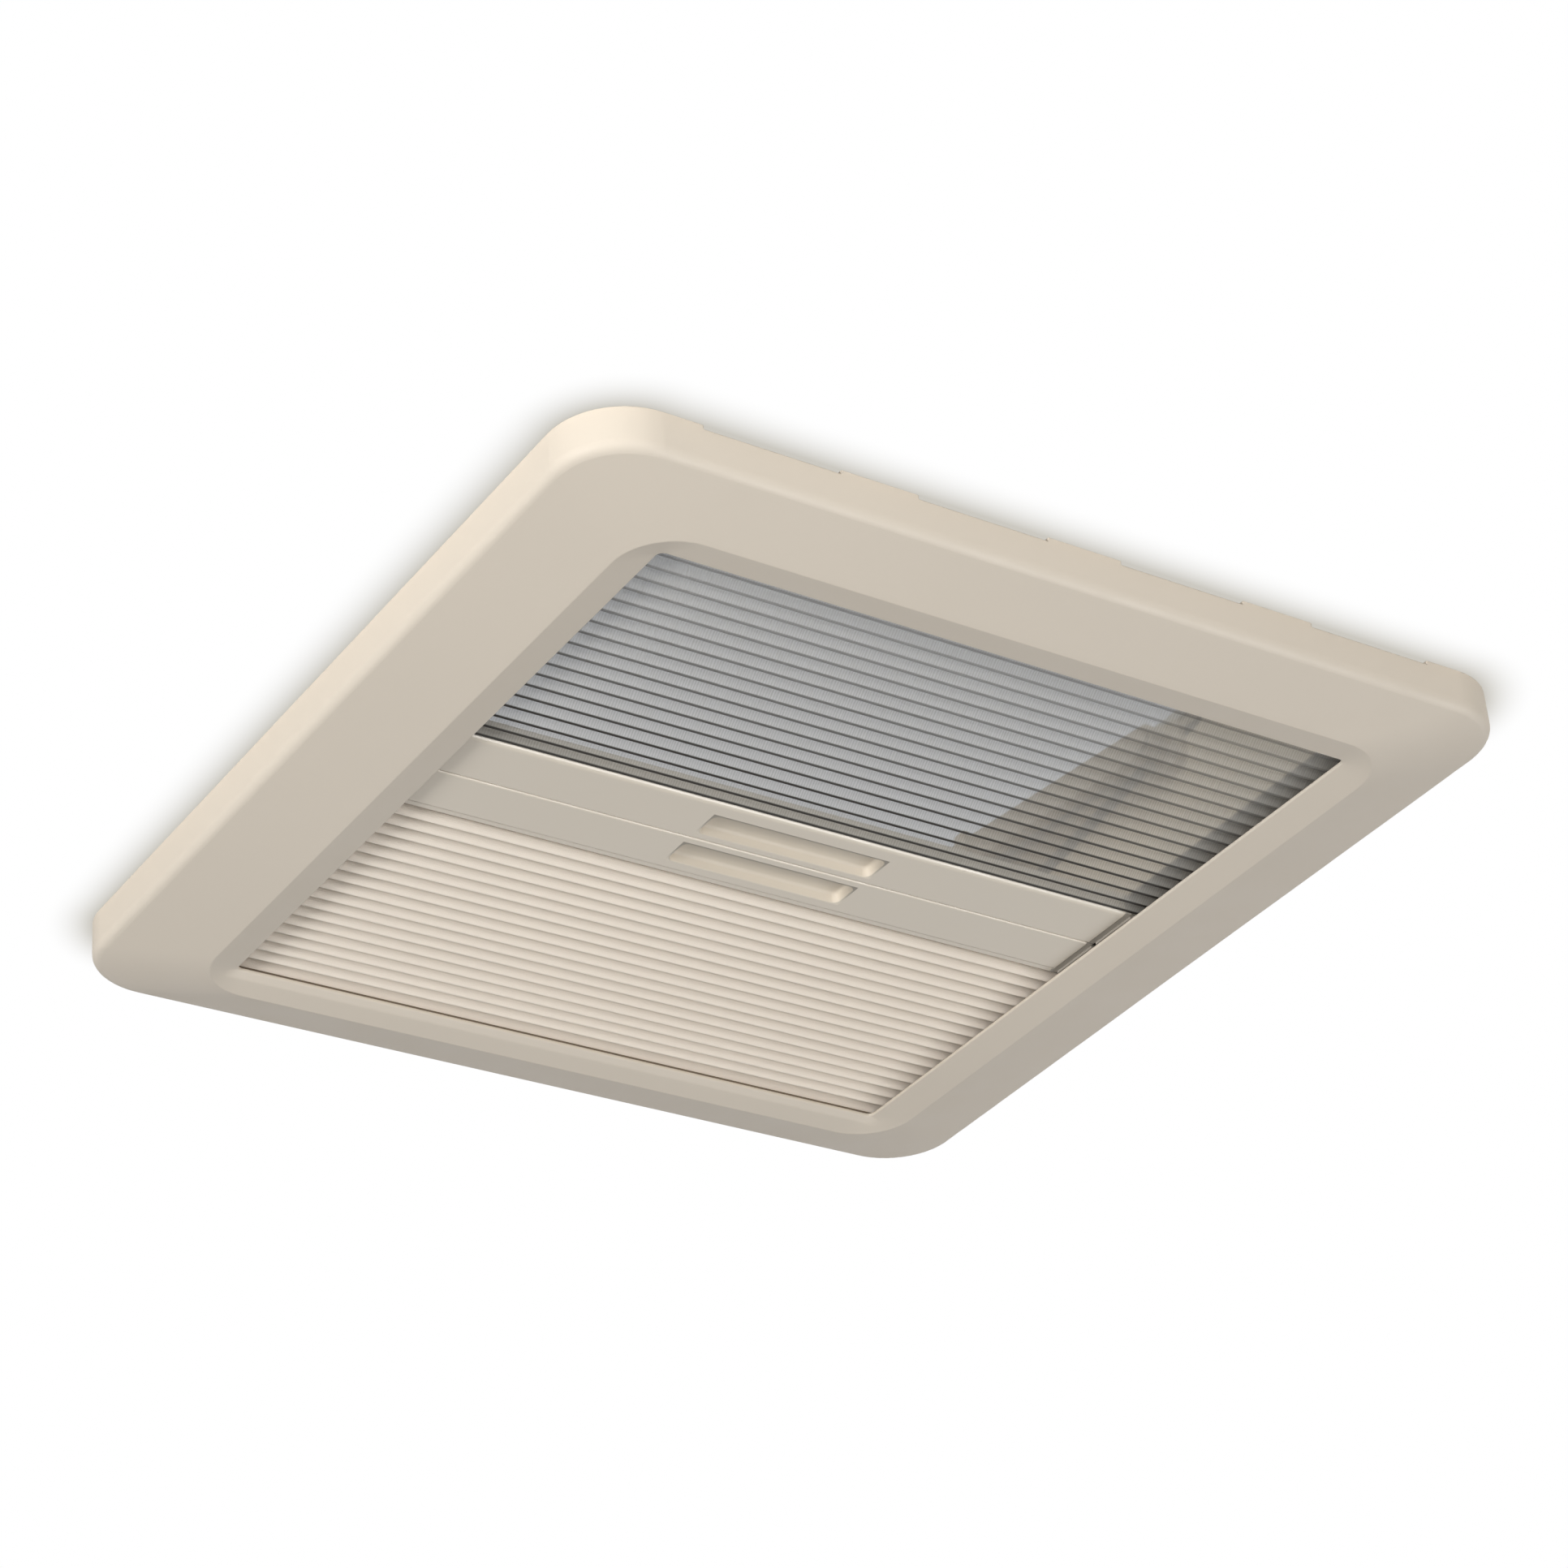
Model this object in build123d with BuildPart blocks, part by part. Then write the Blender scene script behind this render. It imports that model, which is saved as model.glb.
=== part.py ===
from build123d import *
from math import atan2, cos, degrees, hypot, radians, sin, tan
import os

# A roof light for a caravan or camper, for a square cut-out in the roof.
# Origin: centre of the cut-out, on the roof's outer face. +Z is up, out of the vehicle.
# X runs along the pleats and the handle bars. Y runs from the flyscreen's end to the blind's end,
# and the dome is hinged on the flyscreen's side. Millimetres.

# Roof that the light is made for
roof_thickness = 34.0

# Roof frame: flange on the roof, collar through it and upstand above it
collar_inner = 372.0
collar_wall = 2.5
collar_corner = 16.0
collar_bottom = -24.0
upstand_top = 30.0
flange_outer = 480.0
flange_corner = 44.0
flange_thickness = 4.0
flange_bevel = 2.4
flange_screw_spacing = 440.0
flange_screw_radius = 2.2
gasket_inner = 420.0
gasket_width = 12.0
gasket_depth = 2.0
gasket_corner = 28.0
gasket_clearance = 0.2
boss_radius = 4.6
boss_overlap = 0.3
boss_spacing = 110.0
boss_drill_depth = 18.0

# Adapter frame: clamps the ceiling panel and covers the roof's thickness from inside
adapter_clearance = 0.3
adapter_wall = 2.3
adapter_top = -12.0
adapter_bottom = -42.0
adapter_outer = 440.0
adapter_corner = 28.0
adapter_inner_corner = 13.0
adapter_flange = 2.0
adapter_rib_inner = 400.0
adapter_rib_corner = 20.0
adapter_rib_wall = 1.6
adapter_rib_depth = 8.0
clamp_hole_radius = 2.2
clamp_head_radius = 3.6
clamp_head_height = 2.2
clamp_tip_gap = 2.0
clip_drop = 3.0
clip_length = 12.0
clip_sheet = 0.8
clip_seat = 2.0

# Ceiling frame
frame_outer = 450.0
frame_corner = 31.0
opening_x = 335.0
opening_y = 354.0
opening_corner = 3.0
ring_width = 15.2
ring_corner = 26.0
ring_drop = 3.3
face_rise = 9.4
rim_height = 18.4
frame_wall = 2.5
lip_thickness = 1.3
lip_edge_radius = 0.7
ring_edge_radius = 1.2
rim_edge_radius = 4.5
vent_count = 4
vent_pitch = 97.0
vent_width = 61.5
vent_depth = 2.0
rail_rib = 2.0
post_length = 14.0
post_width = 7.0
long_post_root = -0.3
tall_post_root = 0.7

# Handle bars
bar_gap = 0.3
bar_width = 28.75
bar_height = 10.0
bar_wall = 2.4
bar_lip_gap = 2.2
bar_end_inset = 2.0
bar_edge_radius = 3.0
bar_arris = 1.1
ledge_width = 3.4
ledge_step = 0.5
ledge_groove = 0.9
grip_length = 87.0
grip_width = 15.2
grip_corner = 3.0
grip_depth = 4.2
grip_draft = 14.0
grip_floor_radius = 1.6
grip_offset = 12.2
grip_wall = 2.0
cap_clearance = 0.15
tongue_length = 7.8
tongue_inset = 1.5
plug_length = 8.0
plug_height = 6.0
magnet_length = 12.0
magnet_height = 5.0
magnet_thickness = 1.8
magnet_place = 120.0

# Side rails and end profiles
rail_inset = 1.5
rail_depth = 9.5
rail_sheet = 1.2
rail_height = 13.5
slide_clearance = 0.3
end_inset = 2.9
end_depth = 8.0
corner_screw_radius = 1.5
corner_screw_grip = 2.4
corner_drill = 2.8

# Pleated cloths
pleat_count = 18
pleat_edge_gap = 0.3
pleat_clearance = 1.1
cloth_thickness = 0.4
screen_pleat_rise = 2.6
blind_pleat_rise = 4.4
blind_pleat_bulge = 0.3

# Dome seal and dome
seal_width = 4.5
seal_height = 6.0
seal_gap = 0.3
seal_edge_radius = 1.35
dome_outer = 452.0
dome_corner = 40.0
dome_rim_thickness = 4.7
skirt_wall = 2.5
skirt_bottom = 22.0
pane_wall = 3.0
outer_pane_inset = 3.0
outer_pane_crown = 92.0
outer_pane_edge = 22.0
inner_pane_inset = 30.0
inner_pane_crown = 76.0
inner_pane_edge = 12.0
inner_pane_corner = 22.0
pane_taper = 8.0
pane_crown_radius = 1500.0

# Dome hinges
hinge_y = -205.0
hinge_z = 26.7
hinge_place = 110.0
hinge_radius = 7.0
hinge_pin_radius = 3.0
running_clearance = 0.05
pin_seat_clearance = 0.02
leaf_length = 23.4
hinge_side_gap = 0.3
ear_thickness = 6.0
foot_thickness = 4.0
foot_screw_place = 7.0
leaf_plate = 2.4
leaf_plate_depth = 28.0
leaf_plate_shift = -2.0
leaf_screw_near = 8.0
leaf_screw_far = -12.0
small_screw_radius = 1.5
small_head_radius = 2.8
small_head_height = 1.6
screw_tip_gap = 0.5
hinge_head_radius = 4.5
hinge_head_thickness = 1.5
leaf_hole_cover = 1.0

# Bow: pivots on the side walls. Its arms are as long as the distance from hinge to pivot, so its
# tips run along a straight rail through the hinge line, and it turns twice as far as the dome
bow_length = 156.0
bow_rise = 6.1
arm_thickness = 7.0
arm_height = 14.0
arm_side_gap = 7.5
crossbar_radius = 7.0
crossbar_wall = 2.0
spigot_length = 10.0
spigot_clearance = 0.05
tip_wall = 1.0
dome_opening = 45.0

# Bow's pivots, shoes, rails and rest clips
pivot_boss_radius = 8.0
pivot_boss_gap = 0.3
pivot_plate = 4.0
pivot_plate_width = 26.0
pivot_plate_corner = 4.0
pivot_plate_drop = 13.0
plate_screw_drop = 8.0
plate_screw_place = 9.0
pivot_hole_cover = 1.0
pivot_head_radius = 5.0
pivot_head_thickness = 1.8
shoe_length = 16.0
shoe_height = 6.0
shoe_gap = 0.3
dome_rail_depth = 5.5
dome_rail_back = 1.5
dome_rail_flange = 3.0
dome_rail_end = 13.0
rail_screw_radius = 1.3
rail_head_radius = 2.4
rail_head_height = 1.2
rail_screw_grip = 6.0
rail_hole_depth = 7.0
rail_screw_rise = 2.8
shoe_pin_gap = 0.3
rest_clip_place = 86.6
rest_clip_width = 8.0
rest_clip_wall = 3.0
rest_clip_leg = 18.0
rest_clip_lip = 16.5

# Shallow drain groove in each side wall of the collar: distances along Y, depth and width
groove_low_y = 53.0
groove_low_z = 13.5
groove_high_y = -71.0
groove_high_z = 30.0
groove_width = 8.0
groove_depth = 1.0

# Levels and places that follow
ceiling_z = -roof_thickness
rim_z = ceiling_z - rim_height
ring_z = rim_z - face_rise
open_z = ring_z + ring_drop
floor_z = open_z + lip_thickness
bar_z = floor_z + bar_lip_gap
collar_face = collar_inner / 2
collar_outer = collar_inner + 2 * collar_wall
rail_inner_x = opening_x / 2 + rail_inset
rail_outer_x = rail_inner_x + rail_depth + rail_sheet
ring_x = opening_x + 2 * ring_width
ring_y = opening_y + 2 * ring_width
seal_top = upstand_top + seal_height
dome_z = seal_top + seal_gap
pane_z = dome_z + dome_rim_thickness
dome_inner = collar_inner - 2 * adapter_clearance
pivot_y = hinge_y + bow_length
tip_y = pivot_y + bow_length * cos(radians(bow_rise))
tip_z = hinge_z + bow_length * sin(radians(bow_rise))
rail_slope = bow_rise / 2
arm_outer_x = collar_face - arm_side_gap
arm_inner_x = arm_outer_x - arm_thickness
groove_angle = degrees(atan2(groove_high_z - groove_low_z, groove_high_y - groove_low_y))
groove_length = hypot(groove_high_z - groove_low_z, groove_high_y - groove_low_y)
both_sides = (-1, 1)


def square_ring(level, outer, outer_corner, inner, inner_corner):
    """Sketch of a square ring with rounded corners."""
    with BuildSketch(Plane.XY.offset(level)) as ring:
        RectangleRounded(outer, outer, outer_corner)
        RectangleRounded(inner, inner, inner_corner, mode=Mode.SUBTRACT)
    return ring.sketch


def around(offset, spacing):
    """Eight places round the frame: two on each side, at an offset from the centre."""
    places = []
    for side in both_sides:
        for along in both_sides:
            places.append((side * offset, along * spacing))
            places.append((along * spacing, side * offset))
    return places


# Roof frame
boss_offset = collar_outer / 2 + boss_radius - boss_overlap
gasket_outer = gasket_inner + 2 * gasket_width
gasket_inner_corner = gasket_corner - gasket_width
hinge_screw_places = [
    (side * hinge_place + step * foot_screw_place, hinge_y) for side in both_sides for step in both_sides
]
with BuildPart() as roof_frame:
    with BuildSketch(Plane.XY):
        RectangleRounded(flange_outer, flange_outer, flange_corner)
    extrude(amount=flange_thickness)
    chamfer(roof_frame.edges().group_by(Axis.Z)[-1], flange_bevel)
    with BuildSketch(Plane.XY):
        RectangleRounded(collar_inner, collar_inner, collar_corner)
    extrude(amount=flange_thickness, mode=Mode.SUBTRACT)
    extrude(
        square_ring(collar_bottom, collar_outer, collar_corner + collar_wall, collar_inner, collar_corner),
        amount=upstand_top - collar_bottom,
    )
    with BuildSketch(Plane.XY.offset(collar_bottom)):
        with Locations(*around(boss_offset, boss_spacing)):
            Circle(boss_radius)
        RectangleRounded(collar_inner, collar_inner, collar_corner, mode=Mode.SUBTRACT)
    extrude(amount=-collar_bottom)
    with BuildSketch(Plane.XY.offset(collar_bottom)):
        with Locations(*around(boss_offset, boss_spacing)):
            Circle(small_screw_radius + running_clearance)
    extrude(amount=boss_drill_depth, mode=Mode.SUBTRACT)
    extrude(
        square_ring(0, gasket_outer, gasket_corner, gasket_inner, gasket_inner_corner),
        amount=gasket_depth,
        mode=Mode.SUBTRACT,
    )
    with BuildSketch(Plane.XY):
        with GridLocations(flange_screw_spacing, flange_screw_spacing, 2, 2):
            Circle(flange_screw_radius)
        with Locations(*hinge_screw_places):
            Circle(small_screw_radius + running_clearance)
    extrude(amount=flange_thickness, mode=Mode.SUBTRACT)
    for side in both_sides:
        with BuildSketch(Plane.YZ.offset(side * (collar_face + groove_depth))):
            with Locations(((groove_low_y + groove_high_y) / 2, (groove_low_z + groove_high_z) / 2)):
                SlotCenterToCenter(groove_length, groove_width, rotation=groove_angle)
        extrude(amount=-side * 2 * groove_depth, mode=Mode.SUBTRACT)

with BuildPart() as roof_gasket:
    extrude(
        square_ring(
            0, gasket_outer - 2 * gasket_clearance, gasket_corner - gasket_clearance,
            gasket_inner + 2 * gasket_clearance, gasket_inner_corner + gasket_clearance,
        ),
        amount=gasket_depth,
    )

# Adapter frame
adapter_face = collar_inner - 2 * adapter_clearance
adapter_inner = adapter_face - 2 * adapter_wall
with BuildPart() as adapter_frame:
    extrude(
        square_ring(
            adapter_bottom, adapter_face, collar_corner - adapter_clearance,
            adapter_inner, adapter_inner_corner,
        ),
        amount=adapter_top - adapter_bottom,
    )
    extrude(
        square_ring(
            ceiling_z - adapter_flange, adapter_outer, adapter_corner,
            adapter_inner, adapter_inner_corner,
        ),
        amount=adapter_flange,
    )
    rib_outer = adapter_rib_inner + 2 * adapter_rib_wall
    extrude(
        square_ring(
            ceiling_z - adapter_flange - adapter_rib_depth, rib_outer, adapter_rib_corner + adapter_rib_wall,
            adapter_rib_inner, adapter_rib_corner,
        ),
        amount=adapter_rib_depth,
    )
    with BuildSketch(Plane.XY.offset(ceiling_z - adapter_flange)):
        with Locations(*around(boss_offset, boss_spacing)):
            Circle(clamp_hole_radius)
    extrude(amount=adapter_flange, mode=Mode.SUBTRACT)

# Clamp screws: from under the adapter's flange up into the collar's bosses
clamp_reach = collar_bottom + boss_drill_depth - clamp_tip_gap
with BuildPart() as clamp_screws:
    with BuildSketch(Plane.XY.offset(ceiling_z - adapter_flange - clamp_head_height)):
        with Locations(*around(boss_offset, boss_spacing)):
            Circle(clamp_head_radius)
    extrude(amount=clamp_head_height)
    with BuildSketch(Plane.XY.offset(ceiling_z - adapter_flange)):
        with Locations(*around(boss_offset, boss_spacing)):
            Circle(small_screw_radius)
    extrude(amount=clamp_reach - ceiling_z + adapter_flange)

# Ceiling frame
rib_x = rail_outer_x + slide_clearance
end_face = opening_y / 2 + end_inset
clip_offset = (adapter_rib_inner + rib_outer) / 4
clip_base_z = ceiling_z - adapter_flange - adapter_rib_depth - clip_drop
corner_x = (rail_inner_x + rail_outer_x) / 2
corner_y = end_face + end_depth / 2
long_posts = [(along * boss_spacing, side * clip_offset) for side in both_sides for along in both_sides]
tall_posts = [(side * clip_offset, along * boss_spacing) for side in both_sides for along in both_sides]
with BuildPart() as ceiling_frame:
    with BuildSketch(Plane.XY.offset(rim_z)):
        RectangleRounded(frame_outer, frame_outer, frame_corner)
    extrude(amount=rim_height)
    with BuildSketch(Plane.XY.offset(rim_z)):
        RectangleRounded(frame_outer, frame_outer, frame_corner)
    with BuildSketch(Plane.XY.offset(ring_z)):
        RectangleRounded(ring_x, ring_y, ring_corner)
    loft(ruled=True)
    fillet(ceiling_frame.edges().filter_by_position(Axis.Z, rim_z - 0.01, rim_z + 0.01), rim_edge_radius)
    with BuildSketch(Plane.XY.offset(ring_z)):
        RectangleRounded(ring_x, ring_y, ring_corner)
    with BuildSketch(Plane.XY.offset(open_z)):
        RectangleRounded(opening_x, opening_y, opening_corner)
    loft(ruled=True, mode=Mode.SUBTRACT)
    with BuildSketch(Plane.XY.offset(ring_z)):
        RectangleRounded(opening_x, opening_y, opening_corner)
    extrude(amount=floor_z - ring_z, mode=Mode.SUBTRACT)
    fillet(ceiling_frame.edges().filter_by_position(Axis.Z, open_z - 0.01, open_z + 0.01), lip_edge_radius)
    fillet(ceiling_frame.edges().filter_by_position(Axis.Z, ring_z - 0.01, ring_z + 0.01), ring_edge_radius)
    # Hollow above the visible face
    hollow = frame_outer - 2 * frame_wall
    floor_reach = (floor_z - frame_wall - ring_z) / face_rise
    floor_x = ring_x + (frame_outer - ring_x) * floor_reach
    floor_y = ring_y + (frame_outer - ring_y) * floor_reach
    with BuildSketch(Plane.XY.offset(floor_z)):
        RectangleRounded(floor_x, floor_y, frame_corner - frame_wall)
    with BuildSketch(Plane.XY.offset(rim_z + frame_wall)):
        RectangleRounded(hollow, hollow, frame_corner - frame_wall)
    loft(ruled=True, mode=Mode.SUBTRACT)
    with BuildSketch(Plane.XY.offset(rim_z + frame_wall)):
        RectangleRounded(hollow, hollow, frame_corner - frame_wall)
    extrude(amount=rim_height - frame_wall, mode=Mode.SUBTRACT)
    # Ribs beside the rails, posts for the clips and drillings for the corner screws
    with BuildSketch(Plane.XY.offset(floor_z)):
        with Locations(*[(side * (rib_x + rail_rib / 2), 0) for side in both_sides]):
            Rectangle(rail_rib, 2 * end_face)
    extrude(amount=rail_height - rail_sheet)
    with BuildSketch(Plane.XY.offset(floor_z + tall_post_root)):
        with Locations(*tall_posts):
            Rectangle(post_width, post_length)
    extrude(amount=clip_base_z - floor_z - tall_post_root)
    with BuildSketch(Plane.XY.offset(floor_z + long_post_root)):
        with Locations(*long_posts):
            Rectangle(post_length, post_width)
    extrude(amount=clip_base_z - floor_z - long_post_root)
    with BuildSketch(Plane.XY.offset(floor_z)):
        with GridLocations(2 * corner_x, 2 * corner_y, 2, 2):
            Circle(corner_screw_radius + running_clearance)
    extrude(amount=-corner_drill, mode=Mode.SUBTRACT)
    # Shallow vents along the rim's top, on the two sides that the bars run along
    with BuildSketch(Plane.XY.offset(ceiling_z - vent_depth)):
        with GridLocations(vent_pitch, frame_outer, vent_count, 2):
            Rectangle(vent_width, 4 * frame_wall)
    extrude(amount=vent_depth, mode=Mode.SUBTRACT)

# Clips: spring strips on the posts, gripping the adapter's rib
clip_half = adapter_rib_wall / 2 + pin_seat_clearance
clip_top = ceiling_z - adapter_flange - clip_seat
with BuildPart() as frame_clips:
    with BuildSketch(Plane.XY.offset(clip_base_z)):
        with Locations(*long_posts):
            Rectangle(clip_length, 2 * (clip_half + clip_sheet))
        with Locations(*tall_posts):
            Rectangle(2 * (clip_half + clip_sheet), clip_length)
    extrude(amount=clip_top - clip_base_z)
    with BuildSketch(Plane.XY.offset(clip_base_z + clip_sheet)):
        with Locations(*long_posts):
            Rectangle(clip_length, 2 * clip_half)
        with Locations(*tall_posts):
            Rectangle(2 * clip_half, clip_length)
    extrude(amount=clip_top - clip_base_z, mode=Mode.SUBTRACT)


# Side rails: channels open towards the opening, standing on the ceiling frame's floor
def side_rail(side):
    """One channel; side is -1 or 1 along X."""
    with BuildPart() as rail:
        with BuildSketch(Plane.XZ.offset(-end_face)):
            with Locations((side * corner_x, floor_z + rail_height / 2)):
                Rectangle(rail_outer_x - rail_inner_x, rail_height)
            with Locations((side * (corner_x - rail_sheet), floor_z + rail_height / 2)):
                Rectangle(rail_outer_x - rail_inner_x, rail_height - 2 * rail_sheet, mode=Mode.SUBTRACT)
        extrude(amount=2 * end_face)
    return rail


side_rail_left = side_rail(-1)
side_rail_right = side_rail(1)


# End profiles: box sections that hold the fixed end of each cloth
def end_profile(side):
    """One profile; side is -1 at the flyscreen's end and 1 at the blind's."""
    with BuildPart() as profile:
        with BuildSketch(Plane.YZ):
            with Locations((side * (end_face + end_depth / 2), floor_z + rail_height / 2)):
                Rectangle(end_depth, rail_height)
                Rectangle(end_depth - 2 * rail_sheet, rail_height - 2 * rail_sheet, mode=Mode.SUBTRACT)
        extrude(amount=rail_inner_x - slide_clearance, both=True)
    return profile


flyscreen_end_profile = end_profile(-1)
blind_end_profile = end_profile(1)

# Corner blocks between rails and end profiles, low enough for their screws' heads
corner_height = rail_height - small_head_height
with BuildPart() as screen_corners:
    with BuildSketch(Plane.XY.offset(floor_z)):
        with GridLocations(2 * corner_x, 2 * corner_y, 2, 2):
            Rectangle(rail_outer_x - rail_inner_x, end_depth - slide_clearance)
            Circle(corner_screw_radius + running_clearance, mode=Mode.SUBTRACT)
    extrude(amount=corner_height)

with BuildPart() as corner_screws:
    with BuildSketch(Plane.XY.offset(floor_z - corner_screw_grip)):
        with GridLocations(2 * corner_x, 2 * corner_y, 2, 2):
            Circle(corner_screw_radius)
    extrude(amount=corner_height + corner_screw_grip)
    with BuildSketch(Plane.XY.offset(floor_z + corner_height)):
        with GridLocations(2 * corner_x, 2 * corner_y, 2, 2):
            Circle(small_head_radius)
    extrude(amount=small_head_height)

# Handle bars: channels open upwards, with a scooped grip under the middle
bar_half = opening_x / 2 - bar_end_inset
grip_block_length = grip_length + 2 * grip_wall
grip_block_width = grip_width + 2 * grip_wall


def grip_scoop(side):
    """Hollow with drafted walls and a rounded floor, cut out of a bar for its grip."""
    with BuildPart() as scoop:
        with BuildSketch(Plane.XY.offset(bar_z)):
            with Locations((0, side * grip_offset)):
                RectangleRounded(grip_length, grip_width, grip_corner)
        extrude(amount=grip_depth, taper=grip_draft)
        fillet(scoop.faces().sort_by(Axis.Z)[-1].edges(), grip_floor_radius)
    return scoop.part


def handle_bar(side):
    """One bar; side is -1 for the flyscreen's and 1 for the blind's."""
    middle = side * (bar_gap / 2 + bar_width / 2)
    with BuildPart() as bar:
        with BuildSketch(Plane.YZ):
            with Locations((middle, bar_z + bar_height / 2)):
                Rectangle(bar_width, bar_height)
            with Locations((middle, bar_z + bar_wall + bar_height / 2)):
                Rectangle(bar_width - 2 * bar_wall, bar_height, mode=Mode.SUBTRACT)
            if side > 0:
                # The blind's bar is stepped along its outer edge
                ledge = middle + bar_width / 2 - ledge_width / 2
                with Locations((ledge, bar_z + ledge_step / 2)):
                    Rectangle(ledge_width, ledge_step, mode=Mode.SUBTRACT)
                with Locations((ledge - ledge_width / 2, bar_z + ledge_step)):
                    Rectangle(ledge_groove, 2 * ledge_step, mode=Mode.SUBTRACT)
        extrude(amount=bar_half, both=True)
        low_edges = bar.edges().filter_by(Axis.X).group_by(Axis.Z)[0].sort_by(Axis.Y)
        if side < 0:
            fillet(low_edges[0], bar_edge_radius)
            fillet(bar.edges().filter_by(Axis.X).group_by(Axis.Z)[0].sort_by(Axis.Y)[-1], bar_arris)
        else:
            fillet(low_edges[0], bar_arris)
        with BuildSketch(Plane.XY.offset(bar_z + bar_wall)):
            with Locations((0, side * grip_offset)):
                Rectangle(grip_block_length, grip_block_width)
        extrude(amount=grip_depth)
        add(grip_scoop(side), mode=Mode.SUBTRACT)
    return bar


flyscreen_bar = handle_bar(-1)
blind_bar = handle_bar(1)

tongue_x = rail_inner_x - slide_clearance
tongue_low = floor_z + rail_sheet + slide_clearance
tongue_high = floor_z + rail_height - rail_sheet - slide_clearance


def bar_caps(side):
    """The two end caps of one bar: a plug in the bar, a neck, and a tongue in the side rail."""
    middle = side * (bar_gap / 2 + bar_width / 2)
    with BuildPart() as caps:
        with BuildSketch(Plane.YZ.offset(bar_half)):
            with Locations((middle, bar_z + bar_height / 2 + cap_clearance)):
                Rectangle(bar_width - 2 * cap_clearance, bar_height - 2 * cap_clearance)
        extrude(amount=tongue_x - bar_half)
        with BuildSketch(Plane.YZ.offset(tongue_x)):
            with Locations((middle, (tongue_low + tongue_high) / 2)):
                Rectangle(bar_width - 2 * tongue_inset, tongue_high - tongue_low)
        extrude(amount=tongue_length)
        with BuildSketch(Plane.YZ.offset(bar_half)):
            with Locations((middle, bar_z + bar_wall + slide_clearance + plug_height / 2)):
                Rectangle(bar_width - 2 * bar_wall - 2 * slide_clearance, plug_height)
        extrude(amount=-plug_length)
        mirror(about=Plane.YZ)
    return caps


flyscreen_bar_caps = bar_caps(-1)
blind_bar_caps = bar_caps(1)


def bar_magnets(side):
    """Two magnets inside one bar, against the wall that meets the other bar."""
    middle = side * (bar_gap / 2 + bar_wall + magnet_thickness / 2)
    with BuildPart() as magnets:
        with BuildSketch(Plane.XY.offset(bar_z + bar_wall)):
            with Locations((-magnet_place, middle), (magnet_place, middle)):
                Rectangle(magnet_length, magnet_thickness)
        extrude(amount=magnet_height)
    return magnets


flyscreen_bar_magnets = bar_magnets(-1)
blind_bar_magnets = bar_magnets(1)

# Pleated cloths, from the end profiles to the bars
cloth_low = tongue_low + pleat_clearance
cloth_end = end_face - pleat_edge_gap
cloth_start = bar_gap / 2 + bar_width + pleat_edge_gap
cloth_half = tongue_x + tongue_length
pleat_half = (cloth_end - cloth_start) / pleat_count / 2


def pleat_folds(side, rise):
    """Fold points of a cloth's under and upper face: even folds hang low, odd ones stand high."""
    lift = cloth_thickness * hypot(rise, pleat_half) / pleat_half
    under = []
    for fold in range(2 * pleat_count + 1):
        under.append((side * (cloth_start + fold * pleat_half), cloth_low + (fold % 2) * rise))
    upper = [(y, z + lift) for y, z in under]
    return under, upper


with BuildPart() as flyscreen_cloth:
    with BuildSketch(Plane.YZ):
        with BuildLine():
            under, upper = pleat_folds(-1, screen_pleat_rise)
            Polyline(*under, *reversed(upper), close=True)
        make_face()
    extrude(amount=cloth_half, both=True)

with BuildPart() as blind_cloth:
    with BuildSketch(Plane.YZ):
        with BuildLine():
            under, upper = pleat_folds(1, blind_pleat_rise)
            for folds in (under, upper):
                for start, end in zip(folds, folds[1:]):
                    bulge = ((start[0] + end[0]) / 2, (start[1] + end[1]) / 2 + blind_pleat_bulge)
                    ThreePointArc(start, bulge, end)
            Line(under[0], upper[0])
            Line(under[-1], upper[-1])
        make_face()
    extrude(amount=cloth_half, both=True)

# Dome seal, on the upstand's top
with BuildPart() as dome_seal:
    seal_outer = collar_inner + 2 * seal_width
    extrude(
        square_ring(upstand_top, seal_outer, collar_corner + seal_width, collar_inner, collar_corner),
        amount=seal_height,
    )
    fillet(dome_seal.edges().group_by(Axis.Z)[-1], seal_edge_radius)

# Dome: rim with skirt, and two panes that stand on it
leaf_screw_places = [
    (side * hinge_place, hinge_y + step) for side in both_sides for step in (leaf_screw_far, leaf_screw_near)
]
with BuildPart() as dome_rim:
    extrude(
        square_ring(dome_z, dome_outer, dome_corner, dome_inner, collar_corner),
        amount=dome_rim_thickness,
    )
    skirt_inner = dome_outer - 2 * skirt_wall
    extrude(
        square_ring(skirt_bottom, dome_outer, dome_corner, skirt_inner, dome_corner - skirt_wall),
        amount=dome_z - skirt_bottom,
    )
    with BuildSketch(Plane.XY.offset(dome_z)):
        with Locations(*leaf_screw_places):
            Circle(small_screw_radius + running_clearance)
    extrude(amount=dome_rim_thickness - leaf_hole_cover, mode=Mode.SUBTRACT)


def pane_body(inset, crown, edge_radius, corner):
    """Solid cushion shape, from which a pane's outside and inside are cut."""
    with BuildPart() as body:
        with BuildSketch(Plane.XY.offset(pane_z)):
            RectangleRounded(dome_outer - 2 * inset, dome_outer - 2 * inset, corner)
        extrude(amount=crown - pane_z, taper=pane_taper)
        with Locations((0, 0, crown - pane_crown_radius)):
            Sphere(pane_crown_radius, mode=Mode.INTERSECT)
        fillet(body.faces().sort_by(Axis.Z)[-1].edges(), edge_radius)
    return body.part


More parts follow.
